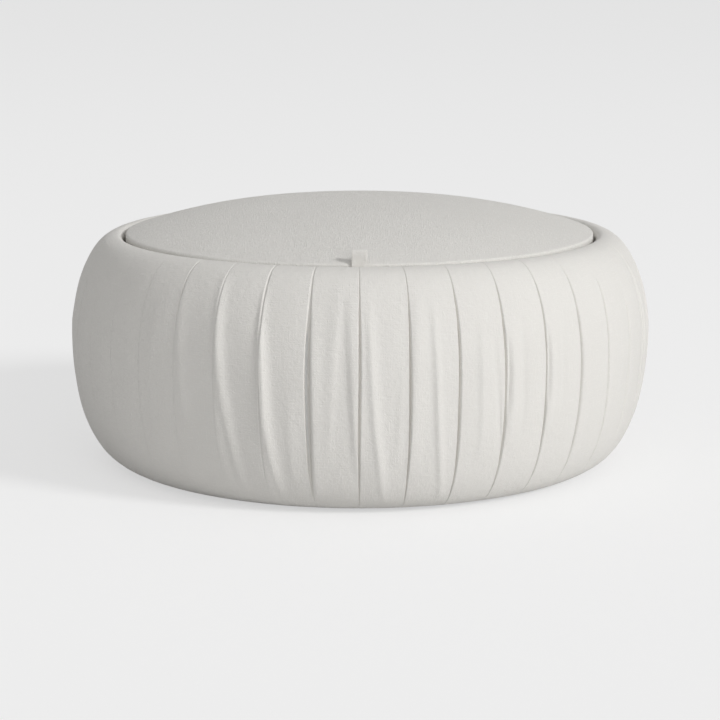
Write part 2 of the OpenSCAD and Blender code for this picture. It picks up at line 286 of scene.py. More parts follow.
def merge_doubles(mesh):
    """Joins the points that lie in one place, as at a pole."""
    work = bmesh.new()
    work.from_mesh(mesh)
    bmesh.ops.remove_doubles(work, verts=work.verts, dist=1e-7)
    work.to_mesh(mesh)
    work.free()


def new_piece(name, points, faces, body, material, corner_map=None):
    """A smooth mesh from points and faces, with its own map if one is given, riding on a body of
    the frame, or on none where no body is given."""
    mesh = bpy.data.meshes.new(name)
    mesh.from_pydata(np.asarray(points).reshape(-1, 3).tolist(), [], faces)
    if corner_map is not None:
        corners = np.zeros(len(mesh.loops), np.int32)
        mesh.loops.foreach_get("vertex_index", corners)
        layer = mesh.uv_layers.new(name="UVMap")
        layer.data.foreach_set("uv", corner_map.reshape(-1, 2)[corners].astype(np.float32).ravel())
    merge_doubles(mesh)
    mesh.shade_smooth()
    mesh.materials.append(material)
    piece = bpy.data.objects.new(name, mesh)
    bpy.context.scene.collection.objects.link(piece)
    if body:
        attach(piece, body)
    return piece


def loop_faces(rows, columns, rows_close=True, columns_close=True):
    """Quads between neighbours of a grid of points, round the ends where it closes."""
    i, j = np.meshgrid(np.arange(rows if rows_close else rows - 1),
                       np.arange(columns if columns_close else columns - 1), indexing="ij")
    down, right = (i + 1) % rows, (j + 1) % columns
    quads = np.stack([i * columns + j, down * columns + j, down * columns + right, i * columns + right], -1)
    return quads.reshape(-1, 4).tolist()


def turned_piece(name, radius, height, angles, body, material, rows_close=True, corner_map=None):
    """A piece whose surface is a line turned about the upright axis."""
    points = turned(radius, height, angles)
    faces = loop_faces(*points.shape[:2], rows_close)
    return new_piece(name, points, faces, body, material, corner_map)


cut_foam, given, put = new_group("cut foam", [("Place", "Vector", None), ("Cells", "Float", 700.0)],
                                 [("Shade", "Float"), ("Height", "Float")])
cells = add(cut_foam, "TexVoronoi", {"Vector": given["Place"], "Scale": given["Cells"]}).outputs[0]
pores = ramp(cut_foam, cells, 0.15, 0.6)
knife = noise(cut_foam, stretched(cut_foam, given["Place"], (1, 1, 9)), 25.0, 3.0)
cut_foam.links.new(weighted(cut_foam, pores, 0.6, knife, 0.4), put["Shade"])
cut_foam.links.new(weighted(cut_foam, knife, 0.8, pores), put["Height"])


def foam_material(name, light, dark, cells):
    """Cut foam in a colour of its own, with open cells of 1/cells metres."""
    material, tree, surface = new_material(name)
    shown = use_group(tree, cut_foam, Place=own_place(tree), Cells=cells)
    finish(tree, surface, blend_colours(tree, shown["Shade"], light, dark),
           ramp(tree, shown["Shade"], 0, 1, 0.82, 0.96), shown["Height"], 0.0006, 0.8)
    return material


firm_foam = foam_material("firm foam", (0.80, 0.70, 0.44), (0.62, 0.50, 0.27), 620.0)
soft_foam = foam_material("soft foam", (0.84, 0.80, 0.66), (0.68, 0.62, 0.46), 800.0)

total_along = side_line()[2][-1]
fine_turns = np.radians(np.arange(0, 360, 1.0))
foam_places = np.linspace(0.0, total_along, 400)
r, z, out_r, out_z, deep = line_at(foam_places)
foam_depth = cloth_t + deep + slack + wadding_t
foam_r, foam_z = r - foam_depth * out_r, z - foam_depth * out_z
split = 0.0002

# Joins between the eight blocks, as shallow lines in the outer face
first_join, block_angle, join_width, join_depth = 11.0, 45.0, 0.7, 0.0016
off_join = (np.degrees(fine_turns) - first_join) % block_angle
joins = join_depth * np.exp(-(np.minimum(off_join, block_angle - off_join) / join_width) ** 2)
low = (foam_z < seat_z - split) & (foam_r > panel_r + 2 * gap) & (foam_places > 0.08)
outer_r, outer_z = foam_r[low][::5], foam_z[low][::5]
back_r = np.array([panel_r, panel_r, panel_r, rim_r, rim_r]) + gap
back_z = np.array([outer_z[-1], 0.15, ring_under_z - gap, ring_under_z - gap, seat_z - split])
on_face = np.concatenate([np.ones(len(outer_r)), np.zeros(len(back_r))])[:, None]
block_r = np.concatenate([outer_r, back_r])[:, None] - on_face * joins
block_z = np.concatenate([outer_z, back_z])
side_foam = turned_piece("side_foam_blocks", block_r, block_z, fine_turns, "base", firm_foam)
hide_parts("side_foam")

high = (foam_z > seat_z + split) & (foam_places > 0.001)
outer_r, outer_z = foam_r[high][::3], foam_z[high][::3]
under_r = np.linspace(outer_r[-1], outer_r[0], 6)[1:-1]
roll_z = np.concatenate([outer_z, np.full(len(under_r), seat_z + split)])
on_face = np.concatenate([np.ones(len(outer_r)), np.zeros(len(under_r))])[:, None]
uneven = np.abs(0.0004 * np.sin(fine_turns * 23 + 1.0) * on_face)
rim_foam = turned_piece("rim_foam_roll", np.concatenate([outer_r, under_r])[:, None] - uneven, roll_z,
                        fine_turns, "base", soft_foam)
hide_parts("rim_foam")


# Wadding round the side
# A wrap of white polyester wadding laid over the foam. It fills the pleats from behind, so its
# outer face follows them softly.

pleat_angle = 9.0
pleat_count = 40
random = np.random.default_rng(7)

# For each crease, from the front one round towards +X: its width to the right and to the left
# in degrees, its depth beside the deepest, how far the cloth sinks before it, the place along
# the side where it opens, how much of it shows above that place, and where it closes again.
# The creases on the far side are drawn at random, and those in the photograph are set one by one.
right_width = random.uniform(0.22, 0.28, pleat_count)
left_width = random.uniform(0.12, 0.18, pleat_count)
crease_share = random.uniform(0.55, 1.0, pleat_count)
sink = random.uniform(0.0004, 0.0016, pleat_count)
opens_at = random.uniform(0.10, 0.16, pleat_count)
thin_share = random.uniform(0.1, 0.5, pleat_count)
closes_at = random.uniform(0.38, 0.44, pleat_count)
shown = np.arange(-8, 8)
right_width[shown] = (0.25, 0.25, 0.25, 0.25, 0.25, 0.25, 0.26, 0.22,
                      0.21, 0.22, 0.26, 0.26, 0.24, 0.30, 0.34, 0.50)
left_width[shown] = (0.12, 0.12, 0.12, 0.12, 0.12, 0.14, 0.16, 0.72,
                     0.27, 0.16, 0.12, 0.12, 0.11, 0.12, 0.12, 0.12)
crease_share[shown] = (0.20, 0.10, 0.08, 0.06, 0.06, 0.05, 0.08, 0.63,
                       0.46, 0.54, 0.97, 0.97, 0.95, 0.66, 0.55, 0.60)
sink[shown] = 0.0006
opens_at[shown] = (0.12, 0.12, 0.12, 0.10, 0.10, 0.10, 0.11, 0.16,
                   0.14, 0.13, 0.12, 0.12, 0.12, 0.11, 0.13, 0.17)
thin_share[shown] = (0.3, 0.3, 0.3, 0.5, 0.5, 0.5, 0.5, 0.55,
                     0.65, 0.55, 0.30, 0.32, 0.40, 0.10, 0.05, 0.0)
closes_at[shown] = (0.40, 0.40, 0.40, 0.40, 0.40, 0.40, 0.40, 0.415,
                    0.44, 0.44, 0.44, 0.44, 0.41, 0.405, 0.395, 0.35)

# The loose folds: places along the side where each begins and ends, its angle at the top, the
# middle and the foot, how far it stands out (a hollow lies in), and its two widths in degrees
loose_folds = [
    (0.07, 0.42, -27.3, -25.2, -22.6, 0.003, 0.9, 1.1), (0.08, 0.42, -26.8, -26.4, -25.8, 0.003, 3, 1.2),
    (0.09, 0.43, -18, -17.1, -15.2, 0.003, 0.7, 1), (0.11, 0.33, -17.8, -17.7, -17.5, 0.0024, 0.75, 0.5),
    (0.15, 0.44, -17.7, -17.5, -17.2, 0.0034, 3.2, 1.2), (0.24, 0.39, -12.7, -12.7, -12.5, 0.0009, 0.7, 1.2),
    (0.03, 0.16, -26.8, -26.8, -26.8, -0.0009, 0.15, 0.15),
    (0.03, 0.18, -17.8, -17.8, -17.8, -0.0017, 0.17, 0.17),
    (0.03, 0.18, -35.8, -35.8, -35.8, -0.0012, 0.15, 0.15),
    (0.03, 0.15, -44.8, -44.8, -44.8, -0.0007, 0.15, 0.15),
    (0.08, 0.37, -3.4, -4.9, -5.8, 0.0017, 1.4, 0.9), (0.12, 0.42, -8.4, -8.2, -8.3, 0.0026, 0.45, 1.5),
    (0.1, 0.37, -1.4, -0.9, -0.2, 0.0034, 1, 1.6), (0.1, 0.35, -2.2, -1.6, -0.4, 0.0008, 0.5, 0.6),
    (0.09, 0.43, 1.3, 2.3, 4.6, 0.0026, 2.4, 1.4), (0.12, 0.43, 1.7, 2.6, 5, 0.0019, 0.6, 0.9),
    (0.2, 0.36, 7.7, 7.3, 6.6, 0.001, 0.6, 1.2), (0.1, 0.38, 10.6, 9.9, 9.5, 0.0026, 1, 1.8),
    (0.11, 0.43, 13.7, 14, 16.1, 0.0028, 0.55, 0.9), (0.13, 0.36, 22.3, 22.4, 22.5, 0.0018, 0.6, 1.3),
    (0.17, 0.36, 25.1, 25.8, 27, -0.0014, 0.8, 0.3), (0.14, 0.33, 30.9, 31, 31.1, -0.0014, 0.9, 0.6),
    (0.16, 0.34, 28.2, 28.5, 28.2, 0.0024, 0.9, 1.1), (0.16, 0.33, 37, 37.2, 37, 0.0024, 0.8, 1.1),
    (0.12, 0.4, 46, 46.3, 46, 0.0018, 0.8, 1.2), (0.15, 0.3, 40.6, 40.4, 40.2, -0.0012, 0.6, 0.6),
    (0.08, 0.32, -35.4, -34.6, -33.2, 0.001, 0.9, 1.2), (0.12, 0.33, -41, -41.4, -42, 0.0006, 0.8, 1.2),
    (0.045, 0.21, -85, -85, -85, -0.003, 38, 38), (0.115, 0.28, 84, 84, 84, 0.0014, 24, 24),
    (0.175, 0.29, 27.8, 27.7, 27.5, -0.003, 0.25, 0.45), (0.165, 0.28, 36.6, 36.6, 36.5, -0.003, 0.25, 0.4)]
for pleat in range(8, 32):
    crease = pleat * pleat_angle
    drift = random.uniform(1.6, 4.4)
    loose_folds += [
        (random.uniform(0.07, 0.12), random.uniform(0.36, 0.43),
         crease + 0.6, crease + 1.2 + 0.35 * drift, crease + 1.2 + drift,
         random.uniform(0.0010, 0.0028), random.uniform(0.45, 0.60), random.uniform(0.9, 1.3)),
        (random.uniform(0.09, 0.16), random.uniform(0.30, 0.40),
         crease + random.uniform(5.2, 6.6), crease + random.uniform(5.2, 6.8),
         crease + random.uniform(5.4, 7.4),
         random.uniform(0.0005, 0.0018), random.uniform(0.6, 1.2), random.uniform(0.6, 1.2))]

rim_crease, rim_fullness, most_proud = 0.0026, 0.0018, 0.006
rise_power, drop_power, sink_angle = 2.2, 12, 3.4


def past(value, limit, over):
    """Nothing where a value is well below a limit, one well above it, and a smooth step between
    them: 1 / (1 + exp((limit - value) / over))."""
    return 1 / (1 + np.exp((limit - value) / over))


def pleat_relief(angle, along, deep):
    """How far the cloth lies in from the side's line, by angle in degrees and place along it.
    It rises from each crease to the right as the 2.2 power inside an exponential, lies level,
    sinks over the last few degrees before the next crease and drops into it as the twelfth
    power. Each crease runs up over the rim at least 2.6 mm deep before its share is taken, and
    the rim's roll stands a little fuller towards the lid.
    A loose fold follows a parabola through its three angles; it stands out by its height times
    exp(-(angle off it / width) squared), and fades out towards both of its ends."""
    pleat = np.floor(angle / pleat_angle + 1e-9)
    right = angle - pleat * pleat_angle
    left = pleat_angle - right
    this, following = pleat.astype(int) % pleat_count, (pleat.astype(int) + 1) % pleat_count
    deep = np.maximum(deep, rim_crease * past(along, 0.040, 0.002) * past(0.2, along, 0.05))
    share = deep / pleat_depth
    narrow = 0.25 + 0.75 * share ** 2
    opened = [(thin_share[crease] + (1 - thin_share[crease]) * past(along, opens_at[crease] - 0.015, 0.009))
              * past(closes_at[crease], along, 0.011) * crease_share[crease] for crease in (this, following)]
    rising = np.exp(-(right / (right_width[this] * narrow)) ** rise_power)
    dropping = np.exp(-(left / (left_width[following] * narrow)) ** drop_power)
    run = np.clip(1 - left / sink_angle, 0, 1)
    sunk = share * (sink[following] * run * run * (3 - 2 * run) + sink[this] * rising)
    crease = np.maximum((deep * opened[0] - sunk) * rising, (deep * opened[1] - sunk) * dropping)
    depth = sunk + np.maximum(crease, 0) - rim_fullness * np.exp(-((along - 0.036) / 0.012) ** 2)
    outside = 1 - np.maximum(rising * opened[0], dropping * opened[1])
    for top, foot, top_angle, middle_angle, foot_angle, height, left_side, right_side in loose_folds:
        gone = np.clip((along - top) / (foot - top), 0, 1)
        ridge = (top_angle * (1 - gone) * (1 - 2 * gone) + middle_angle * 4 * gone * (1 - gone)
                 + foot_angle * gone * (2 * gone - 1))
        off = (angle - ridge + 180) % 360 - 180
        off = off / np.where(off < 0, left_side, right_side)
        depth = depth - height * (4 * gone * (1 - gone)) ** 0.7 * np.exp(-off ** 2) * outside
    turn = np.radians(angle)
    uneven = (np.sin(7 * turn + 9 * along + 1.3) + np.sin(13 * turn - 23 * along)
              + np.sin(31 * turn + 41 * along + 0.6))
    return np.clip(depth + 0.00022 * uneven * share, -most_proud, pleat_depth)


def column(*rows):
    """Each row of values stood up as a column."""
    return [values[:, None] for values in rows]


def layer_between(r, z, out_r, out_z, front, behind):
    """Radius and height of a closed layer, down its front and back up its other face, from how
    far each of them lies in from a line."""
    r, z, out_r, out_z = column(r, z, out_r, out_z)
    return (np.concatenate([r - front * out_r, (r - behind * out_r)[::-1]]),
            np.concatenate([z - front * out_z, (z - behind * out_z)[::-1]]))


fleece, tree, surface = new_material("polyester wadding")
place = own_place(tree)
tufts = noise(tree, place, 60.0, 6.0, 0.75, 1.5)
hairs = noise(tree, stretched(tree, place, (1, 1, 0.35)), 1400.0, 2.0, 0.6, 2.0)
tangle = weighted(tree, tufts, 0.6, hairs, 0.4)
finish(tree, surface, blend_colours(tree, tangle, (0.74, 0.74, 0.72), (0.90, 0.90, 0.88)),
       ramp(tree, hairs, 0, 1, 0.86, 0.98), weighted(tree, tufts, 3.0, hairs), 0.0007, 0.9)
surface.inputs["Sheen Weight"].default_value = 0.3

wadding_angles = np.arange(0, 360, 0.75)
wadding_places = np.linspace(0.0, 0.474, 100)
*wadding_line, deep = line_at(wadding_places)
front = pleat_relief(wadding_angles, *column(wadding_places, deep)) + cloth_t + 0.0006
behind = np.broadcast_to((cloth_t + deep + slack + wadding_t - 0.0002)[:, None], front.shape)
layer_r, layer_z = layer_between(*wadding_line, front, behind)
layer_r = np.maximum(layer_r, np.where(layer_z < ring_under_z, panel_r + gap, groove_r + 0.001))
layer_z = np.maximum(layer_z, 0.0045)
side_wadding = turned_piece("side_wadding_wrap", layer_r, layer_z, np.radians(wadding_angles),
                            "base", fleece)
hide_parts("side_wadding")


# Pleated cover
# Four widths of heavy off-white cloth, sewn together at the sides inside a pleat, laid in ten
# pleats each, drawn over the rim into the groove, and tacked under the base board. The pleats
# all fold the same way, and the cloth hangs in loose folds between them.

woven, given, put = new_group("woven cloth", [("Place", "Vector", None), ("Thread", "Float", 0.0011),
                              ("Slubs", "Float", 0.5)], [("Shade", "Float"), ("Height", "Float")])
across = separated(woven, given["Place"])
flow = noise(woven, given["Place"], 38.0, 2.0)
weave = []
for direction, sway in ((0, 2.2), (1, -1.6)):
    count = weighted(woven, flow, sway, calc(woven, "DIVIDE", across[direction], given["Thread"]))
    weave.append(calc(woven, "SINE", calc(woven, "MULTIPLY", count, np.pi)))
crossing = calc(woven, "MULTIPLY_ADD", calc(woven, "MULTIPLY", *weave), 0.5, 0.5)
long_lumps = [ramp(woven, noise(woven, stretched(woven, given["Place"], scale), 1.0, 2.0, 0.6), 0.52, 0.74)
              for scale in ((45, 620, 1), (620, 45, 1))]
slub = calc(woven, "MULTIPLY", calc(woven, "ADD", *long_lumps), given["Slubs"])
knots = ramp(woven, noise(woven, given["Place"], 240.0, 2.0, 0.6), 0.56, 0.74)
neps = calc(woven, "MULTIPLY", knots, given["Slubs"])
nap = noise(woven, given["Place"], 520.0, 3.0, 0.7)
shade = calc(woven, "ADD", calc(woven, "MULTIPLY", crossing, 0.30), calc(woven, "MULTIPLY", nap, 0.45))
woven.links.new(weighted(woven, calc(woven, "ADD", slub, neps), 0.28, shade), put["Shade"])
raised = weighted(woven, neps, 2.2, weighted(woven, slub, 1.2, crossing))
lumps = weighted(woven, noise(woven, given["Place"], 110.0, 3.0, 0.6), 5.2, raised)
woven.links.new(weighted(woven, nap, 0.7, lumps), put["Height"])


def cloth_material(name, light, dark, thread, slubs, relief):
    """Woven cloth between two colours, on the piece's own map."""
    material, tree, surface = new_material(name)
    mapped = add(tree, "UVMap", uv_map="UVMap").outputs[0]
    shown = use_group(tree, woven, Place=mapped, Thread=thread, Slubs=slubs)
    share = weighted(tree, noise(tree, own_place(tree), 7.0, 3.0), 0.25, shown["Shade"], 0.85)
    finish(tree, surface, blend_colours(tree, share, dark, light),
           ramp(tree, shown["Shade"], 0, 1, 0.97, 0.86), shown["Height"], relief, 0.7)
    surface.inputs["Sheen Weight"].default_value = 0.12
    surface.inputs["Sheen Roughness"].default_value = 0.6
    surface.inputs["Specular IOR Level"].default_value = 0.25
    return material


cover_thread = 0.0011
cover_cloth = cloth_material("cover cloth", (0.874, 0.856, 0.820), (0.736, 0.718, 0.682),
                             cover_thread, 0.8, 0.00028)


def skin(name, outer, inner, flat, column_step, columns_close, body, material, row_step=2):
    """A piece of cloth as a closed skin: a fine outer grid, and an inner grid of every so many of
    its rows and columns, joined along their edges by faces with more corners. The map of the
    fine grid is given in metres of flat cloth."""
    rows, columns = outer.shape[:2]
    inner = inner[::row_step, ::column_step]
    inner_rows, inner_columns = inner.shape[:2]
    first_inner = rows * columns
    faces = loop_faces(rows, columns, False, columns_close)
    faces += [[first_inner + i for i in face[::-1]]
              for face in loop_faces(inner_rows, inner_columns, False, columns_close)]
    foot, side = (inner_rows - 1) * inner_columns, inner_columns - 1
    for j in range(inner_columns if columns_close else inner_columns - 1):
        near, far = first_inner + j, first_inner + (j + 1) % inner_columns
        fine = [(j * column_step + k) % columns for k in range(column_step + 1)]
        faces.append(fine + [far, near])
        faces.append([(rows - 1) * columns + k for k in fine[::-1]] + [near + foot, far + foot])
    for i in range(0 if columns_close else inner_rows - 1):
        near, far = first_inner + i * inner_columns, first_inner + (i + 1) * inner_columns
        fine = [(i * row_step + k) * columns for k in range(row_step + 1)]
        faces.append(fine[::-1] + [near, far])
        faces.append([k + columns - 1 for k in fine] + [far + side, near + side])
    mapped = np.concatenate([flat.reshape(-1, 2), flat[::row_step, ::column_step].reshape(-1, 2)])
    points = np.concatenate([outer.reshape(-1, 3), inner.reshape(-1, 3)])
    return new_piece(name, points, faces, body, material, mapped)


def strip_map(angles, along, radius):
    """Flat map in metres of a strip of cloth that goes round at a radius."""
    return np.stack(np.broadcast_arrays(angles * radius, along[:, None]), axis=-1)


widths, pleats_per_width = 4, 10
cover_places = np.interp(np.linspace(0, 1, 121), [0, 0.05, 0.19, 0.56, 0.95, 1],
                         [0, 0.032, 0.052, 0.250, 0.476, total_along])
pleat_columns = np.concatenate([
    [0, 0.05, 0.10, 0.16, 0.23, 0.31, 0.40, 0.50, 0.62, 0.76, 0.92], np.linspace(1.1, 8.02, 27),
    [8.12, 8.19, 8.25, 8.31, 8.38, 8.45, 8.58, 8.69, 8.78, 8.85, 8.90, 8.94, 8.97]])
r, z, out_r, out_z, deep = column(*line_at(cover_places))
places = cover_places[:, None]
for width in range(widths):
    first_pleat = 5 + pleats_per_width * width
    starts = (first_pleat + np.arange(pleats_per_width)) * pleat_angle
    angle = np.append(np.add.outer(starts, pleat_columns).ravel(), starts[-1] + pleat_angle)
    depth = pleat_relief(angle + 1e-7, places, deep)
    turn = np.radians(angle)
    strayed = 0.06 * np.sin(11 * places + 9 * turn) + 0.04 * np.sin(29 * places + 23 * turn + 2.0)
    turns = np.radians(angle + strayed * np.minimum(1, deep / 0.004))
    outer, inner = (turned(r - d * out_r, z - d * out_z, turns) for d in (depth, depth + cloth_t))
    cover = skin(f"pleated_cover_{width + 1}", outer, inner, strip_map(turn, cover_places, belly_r),
                 3, False, "base", cover_cloth)
    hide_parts(f"cover_width_{width + 1}")


# Cloth over the ledge and lining of the well
# A strip of lining cloth glued over the seat ring, where the lid rests, and turned down inside
# it. A second piece hangs from under the ring to the floor of the well, with one sewn seam.

lining_cloth = cloth_material("lining cloth", (0.70, 0.655, 0.58), (0.56, 0.515, 0.44), 0.0007, 0.25, 0.00012)
lining_t, ring_in_r, well_r, board_z = 0.0012, 0.330, 0.343, 0.022


def resampled(corners, count):
    """Points at even steps along a line through some corners, and how far along each one is."""
    across, up = np.asarray(corners, float).T
    along = length_along(across, up)
    at = np.linspace(0, along[-1], count)
    return np.interp(at, along, across), np.interp(at, along, up), at


bend = np.radians(np.linspace(180, 90, 7))
ledge_r, ledge_z, ledge_along = resampled(np.concatenate([
    [[ring_in_r - lining_t, ring_under_z - lining_t]],
    np.stack([ring_in_r + lining_t * np.cos(bend), seat_z + lining_t * np.sin(bend)], 1),
    [[groove_r - 0.0005, seat_z + lining_t]]]), 61)
wide_turns = np.radians(np.arange(0, 360, 1.5))
pulls = 0.00025 * (1 + np.sin(wide_turns * 31) * np.sin(wide_turns * 7))
pull = pulls * np.clip((seat_z + 0.0005 - ledge_z) / 0.01, 0, 1)[:, None]
ledge = skin("ledge_strip", turned(ledge_r[:, None] - pull, ledge_z, wide_turns),
             turned(np.maximum(ledge_r, ring_in_r), np.minimum(ledge_z, seat_z), wide_turns),
             strip_map(wide_turns, ledge_along, 0.34), 2, True, "base", lining_cloth)
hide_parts("ledge_cloth")

front_r, hang_z = well_r - lining_t, ring_under_z - lining_t
wall_r, wall_z, wall_along = resampled([[front_r, board_z], [front_r, hang_z - 0.0008],
                                        [front_r - 0.0008, hang_z], [ring_in_r, hang_z]], 81)
back_r = np.where(wall_z < 0.296, well_r, np.minimum(wall_r + lining_t, well_r))
back_z = np.minimum(wall_z + lining_t * (wall_z > 0.295), ring_under_z)
back_z = np.where(wall_r < 0.341, ring_under_z, back_z)
hang = np.clip((0.29 - wall_z) / 0.05, 0, 1) * np.clip((wall_z - 0.02) / 0.06, 0.25, 1)
wave = np.sin(wide_turns * 17 + 0.8 * np.sin(wide_turns * 3)) + 0.6 * np.sin(wide_turns * 41 + 1)
seam_rise = 0.0012 * np.exp(-((np.degrees(wide_turns) - 180.0) / 1.4) ** 4)
ripple = hang[:, None] * (0.0009 + 0.0006 * wave) + (wall_z[:, None] < 0.2955) * seam_rise
well = skin("well_lining_cloth", turned(wall_r[:, None] - ripple, wall_z, wide_turns),
            turned(back_r, back_z, wide_turns), strip_map(wide_turns, wall_along, 0.342),
            2, True, "base", lining_cloth)
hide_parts("well_lining")


def stitches(name, body, material, middles, along, across, length, thick, sides=6):
    """A piece of short lengths of thread, each a pointed ring of sides carried along five
    places. Middles, along and across give each one's place, direction and the way it stands up."""
    middles, along, across = (np.asarray(v, float)[:, None, None, :] for v in (middles, along, across))
    third = np.cross(along, across)
    step = np.linspace(-0.5, 0.5, 5)[None, :, None, None]
    swell = np.sqrt(np.maximum(1 - (2 * step) ** 4, 0.0)) * thick / 2
    turn = (np.arange(sides) * 2 * np.pi / sides)[None, None, :, None]
    rings = middles + along * step * length + swell * (np.cos(turn) * across + np.sin(turn) * third)
    count = len(rings)
    single = np.array(loop_faces(5, sides, False, True))
    faces = (single[None] + (np.arange(count) * 5 * sides)[:, None, None]).reshape(-1, 4)
    return new_piece(name, rings, faces.tolist(), body, material)


thread, tree, surface = new_material("sewing thread")
twist = add(tree, "TexWave", {"Vector": own_place(tree), "Scale": 900.0, "Distortion": 1.0},
            bands_direction="DIAGONAL").outputs[1]
finish(tree, surface, blend_colours(tree, twist, (0.74, 0.72, 0.66), (0.90, 0.88, 0.84)),
       ramp(tree, twist, 0, 1, 0.7, 0.5), twist, 0.0001, 0.6)

# Two rows of stitches up the seam's lap, at the back of the well
seam_half, seam_y = 0.0052, 0.34005
stitch_z = np.arange(0.034, 0.292, 0.0052)
middles = [(x, seam_y, height) for x in (-seam_half, seam_half) for height in stitch_z]
stitches("well_seam_thread", "base", thread, middles, [(0, 0, 1)] * len(middles),
         [(0, -1, 0)] * len(middles), 0.0040, 0.0007)


# Pad on the floor of the well
# A round quilted pad of lining cloth over thin wadding, cut to the well and laid on the base
# board. The quilting makes squares of about 85 mm.

pad_r, pad_swell_r, pad_swell_z = 0.336, 0.0053, 0.0029
pad_top_z, pad_middle_z, pad_foot_z = 0.0280, 0.0249, 0.0221
square, stitch_width, quilt_depth = 0.085, 0.006, 0.0034
edge_turn = np.radians(np.linspace(12, 168, 8))
line_r = np.concatenate([np.linspace(0, pad_r, 90), pad_r + pad_swell_r * np.sin(edge_turn),
                         np.linspace(pad_r, 0, 10)])
line_z = np.concatenate([np.full(90, pad_top_z), pad_middle_z + pad_swell_z * np.cos(edge_turn),
                         np.full(10, pad_foot_z)])
x, y = line_r[:, None] * np.sin(fine_turns), line_r[:, None] * np.cos(fine_turns)
off_line = np.minimum(*(np.abs((side / square + 0.5) % 1 - 0.5) for side in (x, y))) * square
pinch = quilt_depth * np.exp(-(off_line / stitch_width) ** 1.5)
on_top = (np.arange(len(line_r)) < 90)[:, None]
floor_pad = turned_piece("quilted_floor_pad", line_r, line_z[:, None] - on_top * pinch, fine_turns,
                         "base", lining_cloth, False, np.stack([x, y], axis=-1))
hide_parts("floor_pad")


# Dust cover under the base
# A disc of black non-woven cloth over the tacked hem, turned in at its edge and stapled all
# round. It is thermally bonded, which leaves a fine regular dimpling.

bonded, tree, surface = new_material("black non-woven cloth")
place = own_place(tree)
spot = add(tree, "TexVoronoi", {"Vector": stretched(tree, place, (1, 1, 0)), "Scale": 420.0,
           "Randomness": 0.15}).outputs[0]
dimple = ramp(tree, spot, 0.18, 0.42)
strands = noise(tree, stretched(tree, place, (900, 260, 900)), 1.0, 3.0, 0.7, 1.0)
bonding = weighted(tree, dimple, 0.5, strands, 0.5)
finish(tree, surface, blend_colours(tree, bonding, (0.018, 0.018, 0.020), (0.060, 0.060, 0.064)),
       ramp(tree, dimple, 0, 1, 0.55, 0.9), weighted(tree, strands, 0.4, dimple), 0.00025, 0.8)


def round_cloth(over, under, under_count, sag_r):
    """Line of a flat round of cloth, from its middle out over its top and back along its
    underside, its points' x and y, and which of them may sag between the board's edges."""
    over_r, over_z, _ = resampled(over, 24)
    under_r, under_z, _ = resampled(under, under_count)
    line_r, line_z = column(np.concatenate([over_r, under_r]), np.concatenate([over_z, under_z]))
    below = (np.arange(len(line_r)) >= 24)[:, None] & (line_r < sag_r)
    return line_r, line_z, line_r * np.sin(wide_turns), line_r * np.cos(wide_turns), below


dust_r, dust_z, x, y, below = round_cloth(
    [[0, 0.0040], [0.3290, 0.0040], [0.3320, hem_z], [0.345, hem_z]],
    [[0.345, 0.0017], [0.3335, 0.0017], [0.3290, 0.0031], [0, 0.0031]], 70, 0.327)
slack_ripple = 0.00045 * (np.sin(21 * x + 5 * y) * np.sin(17 * y - 8 * x + 1) + 0.6 * np.sin(1200 * x * y))
pucker = 0.0003 * np.sin(48 * wide_turns) * np.exp(-((0.324 - dust_r) / 0.02) ** 2)
dust = turned_piece("stapled_dust_cover", dust_r, dust_z - below * (0.0004 + slack_ripple + pucker),
                    wide_turns, "base", bonded, False)
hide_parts("dust_cover")

staple_angle, staple_length, staple_stand = 7.5, 0.0100, 0.0010


def staples(name, body, first_angle, radius, z):
    """Crowns of round-wire staples along a circle, standing off their cloth downwards. They are
    shaped as stitches are, and none is set quite evenly."""
    turns = np.radians(np.arange(first_angle, 360, staple_angle)) + random.normal(0, 0.004, 48)
    middles = turned([radius], [z], turns)[0]
    along = np.stack([np.cos(turns), np.sin(turns), 0 * turns], 1)
    return stitches(name, body, zinc, middles, along, [(0, 0, -1)] * len(turns),
                    staple_length, staple_stand)


staples("dust_cover_staples", "base", 3.75, 0.3395, 0.0016)


# Glides
# Six turned nylon glides nailed under the base board, dark and slightly glossy, with fine
# scratches on the faces that slide on the floor.

nylon, tree, surface = new_material("dark nylon")
place = own_place(tree)
grey = noise(tree, place, 260.0, 3.0)
scratch = noise(tree, stretched(tree, place, (120, 2600, 2600)), 1.0, 3.0, 0.7, 0.4)
finish(tree, surface, blend_colours(tree, grey, (0.020, 0.020, 0.022), (0.042, 0.042, 0.045)),
       ramp(tree, scratch, 0.35, 0.65, 0.32, 0.52), scratch, 0.00005, 0.5)
dress(nylon, *[f"glide_{i}" for i in range(1, 7)])


# Foam and wadding of the lid
# A cake of foam glued on the lid's board and shaved to a low dome, and wadding laid over it and
# down its side.

board_lid_r, board_edge_r = 0.372, 0.008
full_lid_r, full_edge_r = 0.3728, 0.0048
lid_z, lid_edge_z, lid_corner_r, lid_hem_r = 0.3172, 0.3622, 0.005, 0.318
dome_h, dome_power = 0.049, 2.5
edge_slope = np.arctan(dome_h * dome_power / board_lid_r)


